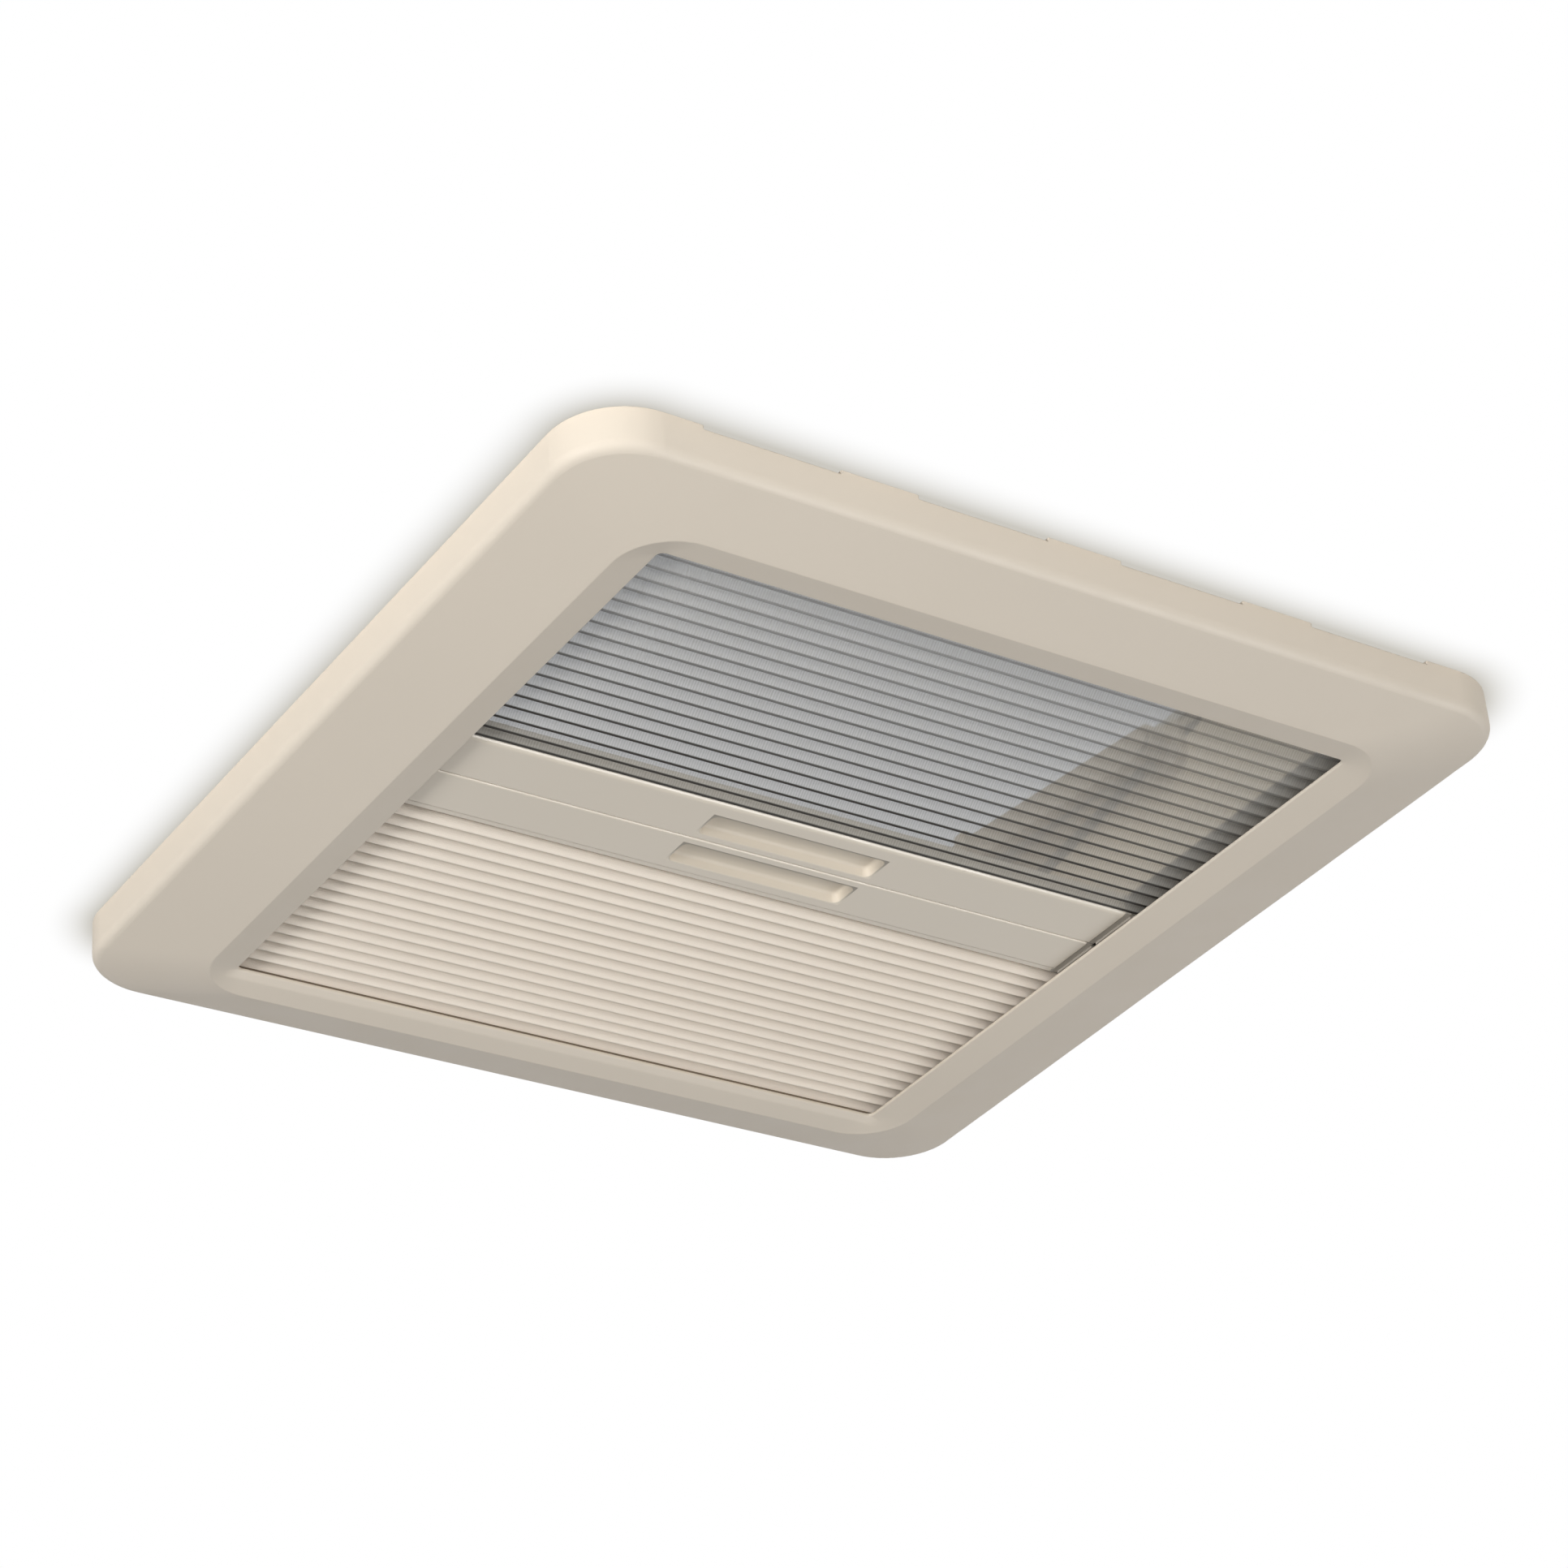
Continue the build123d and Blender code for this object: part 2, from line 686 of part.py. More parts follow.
def pane(inset, crown, edge_radius, corner):
    """A pane of even wall: the cushion shape less a smaller one."""
    with BuildPart() as shell:
        add(pane_body(inset, crown, edge_radius, corner))
        add(
            pane_body(inset + pane_wall, crown - pane_wall, edge_radius - pane_wall, corner - pane_wall),
            mode=Mode.SUBTRACT,
        )
    return shell


dome_outer_pane = pane(outer_pane_inset, outer_pane_crown, outer_pane_edge, dome_corner - outer_pane_inset)
dome_inner_pane = pane(inner_pane_inset, inner_pane_crown, inner_pane_edge, inner_pane_corner)

# Dome hinges
ear_inner = leaf_length / 2 + hinge_side_gap
with BuildPart() as hinge_brackets:
    for side in both_sides:
        centre = side * hinge_place
        with BuildSketch(Plane.XY.offset(flange_thickness)):
            with Locations((centre, hinge_y)):
                Rectangle(2 * (ear_inner + ear_thickness), 2 * hinge_radius)
        extrude(amount=foot_thickness)
        for ear in both_sides:
            low = centre + ear * (ear_inner + ear_thickness / 2) - ear_thickness / 2
            with BuildSketch(Plane.YZ.offset(low)):
                with Locations((hinge_y, (hinge_z + flange_thickness) / 2)):
                    Rectangle(2 * hinge_radius, hinge_z - flange_thickness)
                with Locations((hinge_y, hinge_z)):
                    Circle(hinge_radius)
                    Circle(hinge_pin_radius + pin_seat_clearance, mode=Mode.SUBTRACT)
            extrude(amount=ear_thickness)
    with BuildSketch(Plane.XY.offset(flange_thickness)):
        with Locations(*hinge_screw_places):
            Circle(small_screw_radius + running_clearance)
    extrude(amount=foot_thickness, mode=Mode.SUBTRACT)

with BuildPart() as hinge_pins:
    pin_half = ear_inner + ear_thickness
    for side in both_sides:
        with BuildSketch(Plane.YZ.offset(side * hinge_place - pin_half)):
            with Locations((hinge_y, hinge_z)):
                Circle(hinge_pin_radius)
        extrude(amount=2 * pin_half)
        for end in both_sides:
            with BuildSketch(Plane.YZ.offset(side * hinge_place + end * pin_half)):
                with Locations((hinge_y, hinge_z)):
                    Circle(hinge_head_radius)
            extrude(amount=end * hinge_head_thickness)

with BuildPart() as hinge_bracket_screws:
    with BuildSketch(Plane.XY.offset(screw_tip_gap)):
        with Locations(*hinge_screw_places):
            Circle(small_screw_radius)
    extrude(amount=flange_thickness + foot_thickness - screw_tip_gap)
    with BuildSketch(Plane.XY.offset(flange_thickness + foot_thickness)):
        with Locations(*hinge_screw_places):
            Circle(small_head_radius)
    extrude(amount=small_head_height)

with BuildPart() as hinge_leaves:
    for side in both_sides:
        low = side * hinge_place - leaf_length / 2
        with BuildSketch(Plane.YZ.offset(low)):
            with Locations((hinge_y, hinge_z)):
                Circle(hinge_radius)
            with Locations((hinge_y, (hinge_z + dome_z) / 2)):
                Rectangle(hinge_radius, dome_z - hinge_z)
            with Locations((hinge_y + leaf_plate_shift, dome_z - leaf_plate / 2)):
                Rectangle(leaf_plate_depth, leaf_plate)
            with Locations((hinge_y, hinge_z)):
                Circle(hinge_pin_radius + running_clearance, mode=Mode.SUBTRACT)
        extrude(amount=leaf_length)
    with BuildSketch(Plane.XY.offset(dome_z - leaf_plate)):
        with Locations(*leaf_screw_places):
            Circle(small_screw_radius + running_clearance)
    extrude(amount=leaf_plate, mode=Mode.SUBTRACT)

with BuildPart() as hinge_leaf_screws:
    with BuildSketch(Plane.XY.offset(dome_z - leaf_plate)):
        with Locations(*leaf_screw_places):
            Circle(small_screw_radius)
    extrude(amount=leaf_plate + dome_rim_thickness - leaf_hole_cover - screw_tip_gap)
    with BuildSketch(Plane.XY.offset(dome_z - leaf_plate)):
        with Locations(*leaf_screw_places):
            Circle(small_head_radius)
    extrude(amount=-small_head_height)


# Bow: two arms and a crossbar
def bow_arm(side):
    """One arm in a plane across X, with a spigot that carries the crossbar."""
    inner = side * arm_inner_x
    grow = side * arm_thickness
    with BuildPart() as arm:
        with BuildSketch(Plane.YZ.offset(inner)):
            with Locations(((pivot_y + tip_y) / 2, (hinge_z + tip_z) / 2)):
                SlotCenterToCenter(bow_length, arm_height, rotation=bow_rise)
        extrude(amount=grow)
        with BuildSketch(Plane.YZ.offset(inner)):
            with Locations((tip_y, tip_z)):
                Circle(crossbar_radius - crossbar_wall - spigot_clearance)
        extrude(amount=-side * spigot_length)
        with BuildSketch(Plane.YZ.offset(inner)):
            with Locations((pivot_y, hinge_z)):
                Circle(hinge_pin_radius + running_clearance)
        extrude(amount=grow, mode=Mode.SUBTRACT)
        with BuildSketch(Plane.YZ.offset(inner + side * tip_wall)):
            with Locations((tip_y, tip_z)):
                Circle(hinge_pin_radius + running_clearance)
        extrude(amount=grow - side * tip_wall, mode=Mode.SUBTRACT)
    return arm


bow_arm_left = bow_arm(-1)
bow_arm_right = bow_arm(1)

with BuildPart() as bow_crossbar:
    with BuildSketch(Plane.YZ):
        with Locations((tip_y, tip_z)):
            Circle(crossbar_radius)
            Circle(crossbar_radius - crossbar_wall, mode=Mode.SUBTRACT)
    extrude(amount=arm_inner_x, both=True)

# Bow's pivots on the collar's side walls
plate_x = collar_face - pivot_plate
plate_high = hinge_z + pivot_boss_radius
plate_low = hinge_z - pivot_plate_drop
plate_screws = [(pivot_y + side * plate_screw_place, hinge_z - plate_screw_drop) for side in both_sides]
with BuildPart() as bow_brackets:
    with BuildSketch(Plane.YZ.offset(plate_x)):
        with Locations((pivot_y, (plate_low + plate_high) / 2)):
            RectangleRounded(pivot_plate_width, plate_high - plate_low, pivot_plate_corner)
    extrude(amount=pivot_plate)
    with BuildSketch(Plane.YZ.offset(arm_outer_x + pivot_boss_gap)):
        with Locations((pivot_y, hinge_z)):
            Circle(pivot_boss_radius)
    extrude(amount=plate_x - arm_outer_x - pivot_boss_gap)
    with BuildSketch(Plane.YZ.offset(arm_outer_x)):
        with Locations((pivot_y, hinge_z)):
            Circle(hinge_pin_radius + pin_seat_clearance)
    extrude(amount=collar_face - arm_outer_x - pivot_hole_cover, mode=Mode.SUBTRACT)
    with BuildSketch(Plane.YZ.offset(plate_x)):
        with Locations(*plate_screws):
            Circle(small_screw_radius + running_clearance)
    extrude(amount=pivot_plate, mode=Mode.SUBTRACT)
    mirror(about=Plane.YZ)

with BuildPart() as bow_pivot_pins:
    with BuildSketch(Plane.YZ.offset(arm_inner_x - pivot_boss_gap)):
        with Locations((pivot_y, hinge_z)):
            Circle(hinge_pin_radius)
    extrude(amount=collar_face - pivot_hole_cover - screw_tip_gap - arm_inner_x + pivot_boss_gap)
    with BuildSketch(Plane.YZ.offset(arm_inner_x - pivot_boss_gap)):
        with Locations((pivot_y, hinge_z)):
            Circle(pivot_head_radius)
    extrude(amount=-pivot_head_thickness)
    mirror(about=Plane.YZ)

clip_y = rest_clip_place
clip_arm_z = hinge_z + (clip_y - pivot_y) * tan(radians(bow_rise))
arm_under = clip_arm_z - arm_height / 2 / cos(radians(bow_rise))
shelf_high = arm_under - slide_clearance - rest_clip_width / 2 * tan(radians(bow_rise))
rest_clip_screw = (clip_y, shelf_high - rest_clip_leg * 2 / 3)
with BuildPart() as bow_rest_clips:
    shelf_inner = arm_inner_x - slide_clearance
    with BuildSketch(Plane.XZ.offset(-clip_y)):
        with BuildLine():
            Polyline(
                (collar_face, shelf_high - rest_clip_leg),
                (collar_face, shelf_high),
                (shelf_inner, shelf_high),
                (shelf_inner, shelf_high + rest_clip_lip),
                (shelf_inner - rest_clip_wall, shelf_high + rest_clip_lip),
                (shelf_inner - rest_clip_wall, shelf_high - rest_clip_wall),
                (collar_face - rest_clip_wall, shelf_high - rest_clip_wall),
                (collar_face - rest_clip_wall, shelf_high - rest_clip_leg),
                close=True,
            )
        make_face()
    extrude(amount=rest_clip_width / 2, both=True)
    with BuildSketch(Plane.YZ.offset(collar_face - rest_clip_wall)):
        with Locations(rest_clip_screw):
            Circle(small_screw_radius + running_clearance)
    extrude(amount=rest_clip_wall, mode=Mode.SUBTRACT)
    mirror(about=Plane.YZ)

# Wall screws of the brackets and the rest clips, and their holes in the collar
with BuildPart() as bow_bracket_screws:
    with BuildSketch(Plane.YZ.offset(plate_x)):
        with Locations(*plate_screws):
            Circle(small_screw_radius)
    extrude(amount=pivot_plate + collar_wall)
    with BuildSketch(Plane.YZ.offset(plate_x)):
        with Locations(*plate_screws):
            Circle(small_head_radius)
    extrude(amount=-small_head_height)
    mirror(about=Plane.YZ)

with BuildPart() as rest_clip_screws:
    with BuildSketch(Plane.YZ.offset(collar_face - rest_clip_wall)):
        with Locations(rest_clip_screw):
            Circle(small_screw_radius)
    extrude(amount=rest_clip_wall + collar_wall)
    with BuildSketch(Plane.YZ.offset(collar_face - rest_clip_wall)):
        with Locations(rest_clip_screw):
            Circle(small_head_radius)
    extrude(amount=-small_head_height)
    mirror(about=Plane.YZ)

with roof_frame:
    with BuildSketch(Plane.YZ.offset(collar_face)):
        with Locations(*plate_screws, rest_clip_screw):
            Circle(small_screw_radius + running_clearance)
    extrude(amount=collar_wall, mode=Mode.SUBTRACT)
    with BuildSketch(Plane.YZ.offset(-collar_face)):
        with Locations(*plate_screws, rest_clip_screw):
            Circle(small_screw_radius + running_clearance)
    extrude(amount=-collar_wall, mode=Mode.SUBTRACT)

# Rails under the dome, along the line from the hinge to the bow's tip, and the shoes in them
rest_reach = 2 * bow_length * cos(radians(rail_slope))
open_reach = 2 * bow_length * cos(radians(rail_slope + dome_opening))
slot_low = open_reach - shoe_length / 2 - slide_clearance
slot_high = rest_reach + shoe_length / 2 + slide_clearance
rail_low = slot_low - dome_rail_end
rail_high = slot_high + dome_rail_end
dome_rail_height = shoe_height + 2 * shoe_gap + 2 * dome_rail_flange
dome_rail_x = dome_inner / 2 - dome_rail_depth
dome_rail_screw_z = dome_z + rail_screw_rise


def on_rail(reach, rise=0):
    """Point at a distance from the hinge along the rail's line, raised square to it."""
    slope = radians(rail_slope)
    return (
        hinge_y + reach * cos(slope) - rise * sin(slope),
        hinge_z + reach * sin(slope) + rise * cos(slope),
    )


rail_screw_places = [
    (on_rail(rail_low + dome_rail_end / 2)[0], dome_rail_screw_z),
    (on_rail(rail_high - dome_rail_end / 2)[0], dome_rail_screw_z),
]
with BuildPart() as dome_rails:
    with BuildSketch(Plane.YZ.offset(dome_rail_x)):
        with Locations(on_rail((rail_low + rail_high) / 2)):
            Rectangle(rail_high - rail_low, dome_rail_height, rotation=rail_slope)
    extrude(amount=dome_rail_depth)
    with BuildSketch(Plane.YZ.offset(dome_rail_x)):
        with Locations(on_rail((slot_low + slot_high) / 2)):
            Rectangle(slot_high - slot_low, shoe_height + 2 * shoe_gap, rotation=rail_slope)
    extrude(amount=dome_rail_depth - dome_rail_back, mode=Mode.SUBTRACT)
    with BuildSketch(Plane.YZ.offset(dome_rail_x)):
        with Locations(*rail_screw_places):
            Circle(rail_screw_radius + running_clearance)
    extrude(amount=dome_rail_depth, mode=Mode.SUBTRACT)
    mirror(about=Plane.YZ)

with BuildPart() as rail_screws:
    with BuildSketch(Plane.YZ.offset(dome_rail_x)):
        with Locations(*rail_screw_places):
            Circle(rail_screw_radius)
    extrude(amount=dome_rail_depth + rail_screw_grip)
    with BuildSketch(Plane.YZ.offset(dome_rail_x)):
        with Locations(*rail_screw_places):
            Circle(rail_head_radius)
    extrude(amount=-rail_head_height)
    mirror(about=Plane.YZ)

with dome_rim:
    for side in both_sides:
        with BuildSketch(Plane.YZ.offset(side * dome_inner / 2)):
            with Locations(*rail_screw_places):
                Circle(rail_screw_radius + running_clearance)
        extrude(amount=side * rail_hole_depth, mode=Mode.SUBTRACT)

with BuildPart() as bow_shoes:
    shoe_pin_x = arm_inner_x + tip_wall + shoe_pin_gap
    with BuildSketch(Plane.YZ.offset(shoe_pin_x)):
        with Locations((tip_y, tip_z)):
            Circle(hinge_pin_radius)
    extrude(amount=dome_rail_x + shoe_gap - shoe_pin_x)
    with BuildSketch(Plane.YZ.offset(dome_rail_x + shoe_gap)):
        with Locations((tip_y, tip_z)):
            Rectangle(shoe_length, shoe_height, rotation=rail_slope)
    extrude(amount=dome_rail_depth - dome_rail_back - 2 * shoe_gap)
    mirror(about=Plane.YZ)

pieces = {
    "roof_frame": roof_frame,
    "roof_gasket": roof_gasket,
    "adapter_frame": adapter_frame,
    "clamp_screws": clamp_screws,
    "ceiling_frame": ceiling_frame,
    "frame_clips": frame_clips,
    "side_rail_left": side_rail_left,
    "side_rail_right": side_rail_right,
    "flyscreen_end_profile": flyscreen_end_profile,
    "blind_end_profile": blind_end_profile,
    "screen_corners": screen_corners,
    "corner_screws": corner_screws,
    "flyscreen_bar": flyscreen_bar,
    "blind_bar": blind_bar,
    "flyscreen_bar_caps": flyscreen_bar_caps,
    "blind_bar_caps": blind_bar_caps,
    "flyscreen_bar_magnets": flyscreen_bar_magnets,
    "blind_bar_magnets": blind_bar_magnets,
    "flyscreen_cloth": flyscreen_cloth,
    "blind_cloth": blind_cloth,
    "dome_seal": dome_seal,
    "dome_rim": dome_rim,
    "dome_outer_pane": dome_outer_pane,
    "dome_inner_pane": dome_inner_pane,
    "hinge_brackets": hinge_brackets,
    "hinge_pins": hinge_pins,
    "hinge_bracket_screws": hinge_bracket_screws,
    "hinge_leaves": hinge_leaves,
    "hinge_leaf_screws": hinge_leaf_screws,
    "bow_arm_left": bow_arm_left,
    "bow_arm_right": bow_arm_right,
    "bow_crossbar": bow_crossbar,
    "bow_brackets": bow_brackets,
    "bow_pivot_pins": bow_pivot_pins,
    "bow_bracket_screws": bow_bracket_screws,
    "bow_rest_clips": bow_rest_clips,
    "rest_clip_screws": rest_clip_screws,
    "dome_rails": dome_rails,
    "rail_screws": rail_screws,
    "bow_shoes": bow_shoes,
}
os.makedirs("parts", exist_ok=True)
for name, piece in pieces.items():
    piece.part.label = name
    export_step(piece.part, f"parts/{name}.step")
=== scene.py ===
import math

import bpy
from mathutils import Matrix, Vector, noise


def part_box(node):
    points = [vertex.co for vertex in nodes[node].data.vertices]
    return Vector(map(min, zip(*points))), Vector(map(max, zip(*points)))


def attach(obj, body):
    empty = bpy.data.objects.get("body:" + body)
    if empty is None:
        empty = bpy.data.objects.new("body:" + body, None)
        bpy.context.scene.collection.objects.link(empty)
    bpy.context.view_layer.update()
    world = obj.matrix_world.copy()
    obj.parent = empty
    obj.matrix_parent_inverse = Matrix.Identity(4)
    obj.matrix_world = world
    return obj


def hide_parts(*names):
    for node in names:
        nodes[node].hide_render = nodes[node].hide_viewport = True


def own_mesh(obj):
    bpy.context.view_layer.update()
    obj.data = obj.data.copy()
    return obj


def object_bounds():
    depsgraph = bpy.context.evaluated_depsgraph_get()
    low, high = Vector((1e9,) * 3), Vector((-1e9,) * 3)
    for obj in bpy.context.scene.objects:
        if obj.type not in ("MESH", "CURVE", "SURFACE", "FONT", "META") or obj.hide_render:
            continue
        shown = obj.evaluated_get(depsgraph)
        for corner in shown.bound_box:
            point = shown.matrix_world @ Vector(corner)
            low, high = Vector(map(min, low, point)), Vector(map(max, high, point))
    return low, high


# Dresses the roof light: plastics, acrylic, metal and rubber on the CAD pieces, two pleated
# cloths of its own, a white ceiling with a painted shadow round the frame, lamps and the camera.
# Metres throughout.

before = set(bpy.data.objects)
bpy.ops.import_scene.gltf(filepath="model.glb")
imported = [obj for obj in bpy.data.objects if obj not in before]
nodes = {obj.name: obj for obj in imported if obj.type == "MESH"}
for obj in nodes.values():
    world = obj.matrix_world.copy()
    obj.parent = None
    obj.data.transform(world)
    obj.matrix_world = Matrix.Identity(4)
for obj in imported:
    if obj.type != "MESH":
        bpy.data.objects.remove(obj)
cad_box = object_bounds()

# Camera, fitted to the edges of the ceiling frame
camera_place = Vector((-0.8712, -1.2269, -0.9411))
camera_right = Vector((0.8366895, -0.54257198, -0.07460784))
camera_down = Vector((0.23223824, 0.47485593, -0.84886821))
camera_lens = 93.93
camera_sensor = 36.0

# Ceiling and floor. The ceiling lies a tenth of a millimetre under the ceiling frame's top.
ceiling_z = -0.0341
cutout_half = 0.200
frame_corner = 0.031
stage_half = 3.0
floor_gap = 0.0008
# A shadow painted on the ceiling: it darkens towards shade_colour within shade_reach of the frame.
shade_reach = 0.022
shade_colour = (0.60, 0.58, 0.53)
ceiling_colour = (0.88, 0.87, 0.85)
floor_colour = (0.86, 0.86, 0.85)

# Floors of the grooves in the collar's side walls
groove_floor_x = 0.187
groove_reach = 0.0003

# Grips of the bars: where they are, and how far their floors' normals tilt
grip_half_length = 0.0445
grip_middle_y = 0.0122
grip_half_width = 0.0082
grip_dish = 110.0
grip_dish_foot = 0.0048
grip_end_dish = 4.0
grip_roughening = 0.3

# The ring's edge beside the blind's end: where it is, and how far its normals tilt
lip_y = 0.1765
lip_half_length = 0.165
lip_corner = 0.008
lip_roll = 0.6
lip_roll_start = 0.004
lip_roll_end = 0.0067
lip_top_z = -0.0565

# Linear colours
shell_colour = (0.777, 0.694, 0.588)
bar_colour = (0.783, 0.704, 0.590)
well_colour = (0.80, 0.68, 0.515)
# Painted shade: the dark colour of the floors of the collar's grooves
groove_shade_colour = (0.24, 0.20, 0.16)
# A dark plastic, made darker still as painted shade inside the rails and in the gaps at the cloths'
# ends
channel_and_shade_colour = (0.215, 0.168, 0.122)
cap_colour = (0.40, 0.365, 0.315)
dome_rim_colour = (0.74, 0.72, 0.68)
fitting_colour = (0.55, 0.53, 0.50)
bracket_colour = (0.62, 0.53, 0.41)
bow_colour = (0.50, 0.415, 0.315)
blind_colour = (1.0, 0.893, 0.785)
screen_colour = (0.445, 0.430, 0.398)
screen_line_colour = (0.040, 0.036, 0.031)
rubber_colour = (0.030, 0.030, 0.031)
seal_colour = (0.50, 0.42, 0.32)
steel_colour = (0.56, 0.56, 0.57)
magnet_colour = (0.34, 0.34, 0.35)
acrylic_colour = (0.82, 0.84, 0.84)
acrylic_tint = (0.965, 0.972, 0.972)

# Finishes. Most of a noise lies between its low and its high.
noise_low = 0.3
noise_high = 0.7
plastic_index = 1.46
plastic_colour_spread = 0.035
plastic_speckle_share = 0.2
plastic_roughness_spread = 0.05
acrylic_index = 1.49
acrylic_mirror = 0.035
acrylic_slant_mirror = 0.9
acrylic_slant_power = 5.0
acrylic_dust = 0.035
dust_low = 0.56
dust_high = 0.78
acrylic_haze_spread = 0.03
steel_polish = -0.06
steel_dulling = 0.08
coating_arris = 0.0006
bloom_low = 0.45
bloom_high = 0.75

# Cloths: their folds
pleat_count = 18
pleat_steps = 20
cloth_columns = 120
fold_roundness = 0.985
fold_wander = 0.00010
fold_wander_length = 0.06
fold_wander_step = 1.7
fold_wander_side = 3.1

# Blind: its fabric
blind_light_share = 1.04
blind_dark_share = 0.95
blind_weave_scale = 380
blind_weave_share = 0.4
# Painted shade in the folds' roots fades out between these distances from a root, in pleats;
# blind_fold_shade is its colour.
blind_root_start = 0.09
blind_root_end = 0.22
blind_translucency = 0.08
blind_fold_shade = (0.62, 0.60, 0.57)

# Flyscreen: its fabric. The lines' places are in pleats.
screen_opacity = 0.68
screen_far_density = 0.08
screen_streak_depth = 0.24
screen_thread_depth = 0.10
screen_rib_share = 0.4
screen_thread_stretch = 0.06
screen_colour_spread = 0.07
screen_fold_shift = 0.095
screen_line_opacity = 1.0
screen_line_before = 0.15
screen_line_after = 0.10
screen_line_softness = 0.3
screen_fade_start = 3.0
screen_line_fade = 0.45
# Painted shade in the gap beside the bar reaches this far, in pleats.
screen_bar_shade = 0.07

# Lamps: where each stands from the object's middle, its width, and its light there in watts a
# square metre. The glint only shows in reflections.
lamps = {
    "key": ((-1.92, -0.52, -0.66), 0.6, 1.64),
    "front": ((-0.50, -1.62, -0.57), 0.7, 0.88),
    "return": ((2.05, 0.10, -1.20), 1.2, 0.80),
    "sky": ((-1.70, -1.00, 2.10), 2.0, 2.30),
    "glint": ((1.08, -1.21, -1.52), 1.2, 2.40),
}
world_ambient = 0.32
sky_colour = (0.84, 0.855, 0.925)
ambient_colour = (0.80, 0.81, 0.80)


class Tree:
    """The node tree of a material or world, with short calls for the nodes that they share."""

    def __init__(self, owner):
        self.owner = owner
        owner.use_nodes = True
        self.tree = owner.node_tree
        self.tree.nodes.clear()

    def add(self, kind, inputs=None, **settings):
        """A node of that kind.

        inputs maps a socket's name or number to a value or another node's output.
        """
        made = self.tree.nodes.new("ShaderNode" + kind)
        for name, value in settings.items():
            setattr(made, name, value)
        for name, value in (inputs or {}).items():
            if isinstance(value, bpy.types.NodeSocket):
                self.tree.links.new(value, made.inputs[name])
            else:
                made.inputs[name].default_value = value
        return made

    def sums(self, operation, first, second=0.0, third=0.0, clamp=False):
        """One step of arithmetic on numbers."""
        inputs = {0: first, 1: second, 2: third}
        return self.add("Math", inputs, operation=operation, use_clamp=clamp).outputs[0]

    def product(self, first, *others):
        """Numbers multiplied."""
        for other in others:
            first = self.sums("MULTIPLY", first, other)
        return first

    def weighed(self, first, second, share):
        """A number between two, by a fixed share of the second."""
        return self.sums("ADD", self.product(first, 1 - share), self.product(second, share))

    def within(self, value, reach, middle=0.0):
        """1 where value is less than reach from middle, and 0 elsewhere."""
        away = self.sums("ABSOLUTE", self.sums("SUBTRACT", value, middle))
        return self.sums("LESS_THAN", away, reach)

    def ramp(self, value, low, high, out_low=0.0, out_high=1.0, smooth=True):
        """A number that goes from out_low to out_high as value goes from low to high."""
        inputs = {
            "Value": value, "From Min": low, "From Max": high,
            "To Min": out_low, "To Max": out_high,
        }
        kind = "SMOOTHSTEP" if smooth else "LINEAR"
        return self.add("MapRange", inputs, interpolation_type=kind).outputs["Result"]

    def varied(self, grain, low, high):
        """A number from low to high, by a noise."""
        return self.ramp(grain, noise_low, noise_high, low, high)

    def vectors(self, operation, first, second=(0, 0, 0)):
        """One step of arithmetic on vectors."""
        return self.add("VectorMath", {0: first, 1: second}, operation=operation).outputs[0]

    def shades(self, share, first, second):
        """A colour between two, by share; each is three numbers or another node's output."""
        first, second = (
            end if isinstance(end, bpy.types.NodeSocket) else (*end, 1) for end in (first, second)
        )
        inputs = {"Factor": share, 6: first, 7: second}
        return self.add("Mix", inputs, data_type="RGBA").outputs[2]

    def mottled(self, share, colour, spread):
        """A colour made lighter and darker by up to spread, by share."""
        return self.shades(share, scaled(colour, 1 - spread), scaled(colour, 1 + spread))

    def stretched(self, where, stretch):
        """A place with its parts multiplied."""
        return self.add("Mapping", {"Vector": where, "Scale": stretch}).outputs["Vector"]

    def place(self, stretch=(1, 1, 1)):
        """The point on the object, in metres, stretched."""
        return self.stretched(self.add("TexCoord").outputs["Object"], stretch)

    def parts(self, vector=None):
        """X, Y and Z of a vector, or else of the point on the object."""
        return self.add("SeparateXYZ", {"Vector": vector or self.place()}).outputs

    def grain(self, scale, detail, stretch=(1, 1, 1), where=None):
        """Noise with about scale features a metre."""
        inputs = {"Vector": where or self.place(stretch), "Scale": scale, "Detail": detail}
        return self.add("TexNoise", inputs).outputs["Fac"]

    def arris(self, radius, samples):
        """The normal, rounded at the edges."""
        return self.add("Bevel", {"Radius": radius}, samples=samples).outputs["Normal"]

    def tilted(self, normal, **lean):
        """A normal with numbers added to its parts."""
        leaning = self.vectors("ADD", normal, self.add("CombineXYZ", lean).outputs["Vector"])
        return self.vectors("NORMALIZE", leaning)

    def bump(self, height, distance, normal=None):
        """A normal raised by height, a number from 0 to 1, times distance."""
        inputs = {"Height": height, "Distance": distance, "Strength": 1.0}
        if normal:
            inputs["Normal"] = normal
        return self.add("Bump", inputs).outputs["Normal"]

    def principled(self, **inputs):
        """A Principled shader; a socket's spaces are written as underlines."""
        named = {name.replace("_", " "): value for name, value in inputs.items()}
        return self.add("BsdfPrincipled", named).outputs["BSDF"]

    def clear(self, tint=(1, 1, 1)):
        """A shader that lets light straight through."""
        return self.add("BsdfTransparent", {"Color": (*tint, 1)}).outputs[0]

    def mixed(self, share, first, second):
        """A shader between two, by share."""
        return self.add("MixShader", {0: share, 1: first, 2: second}).outputs[0]

    def finish(self, shader, output="OutputMaterial"):
        """Sets the surface and gives the material or world."""
        self.add(output, {"Surface": shader})
        return self.owner


def material_tree(name):
    """The tree of a new material."""
    return Tree(bpy.data.materials.new(name))


def scaled(colour, factor):
    """A colour made lighter or darker."""
    return tuple(min(1.0, part * factor) for part in colour)


def in_grooves(tree):
    """1 on the floors of the grooves in the collar's side walls, and 0 elsewhere."""
    return tree.within(tree.sums("ABSOLUTE", tree.parts()["X"]), groove_reach, groove_floor_x)


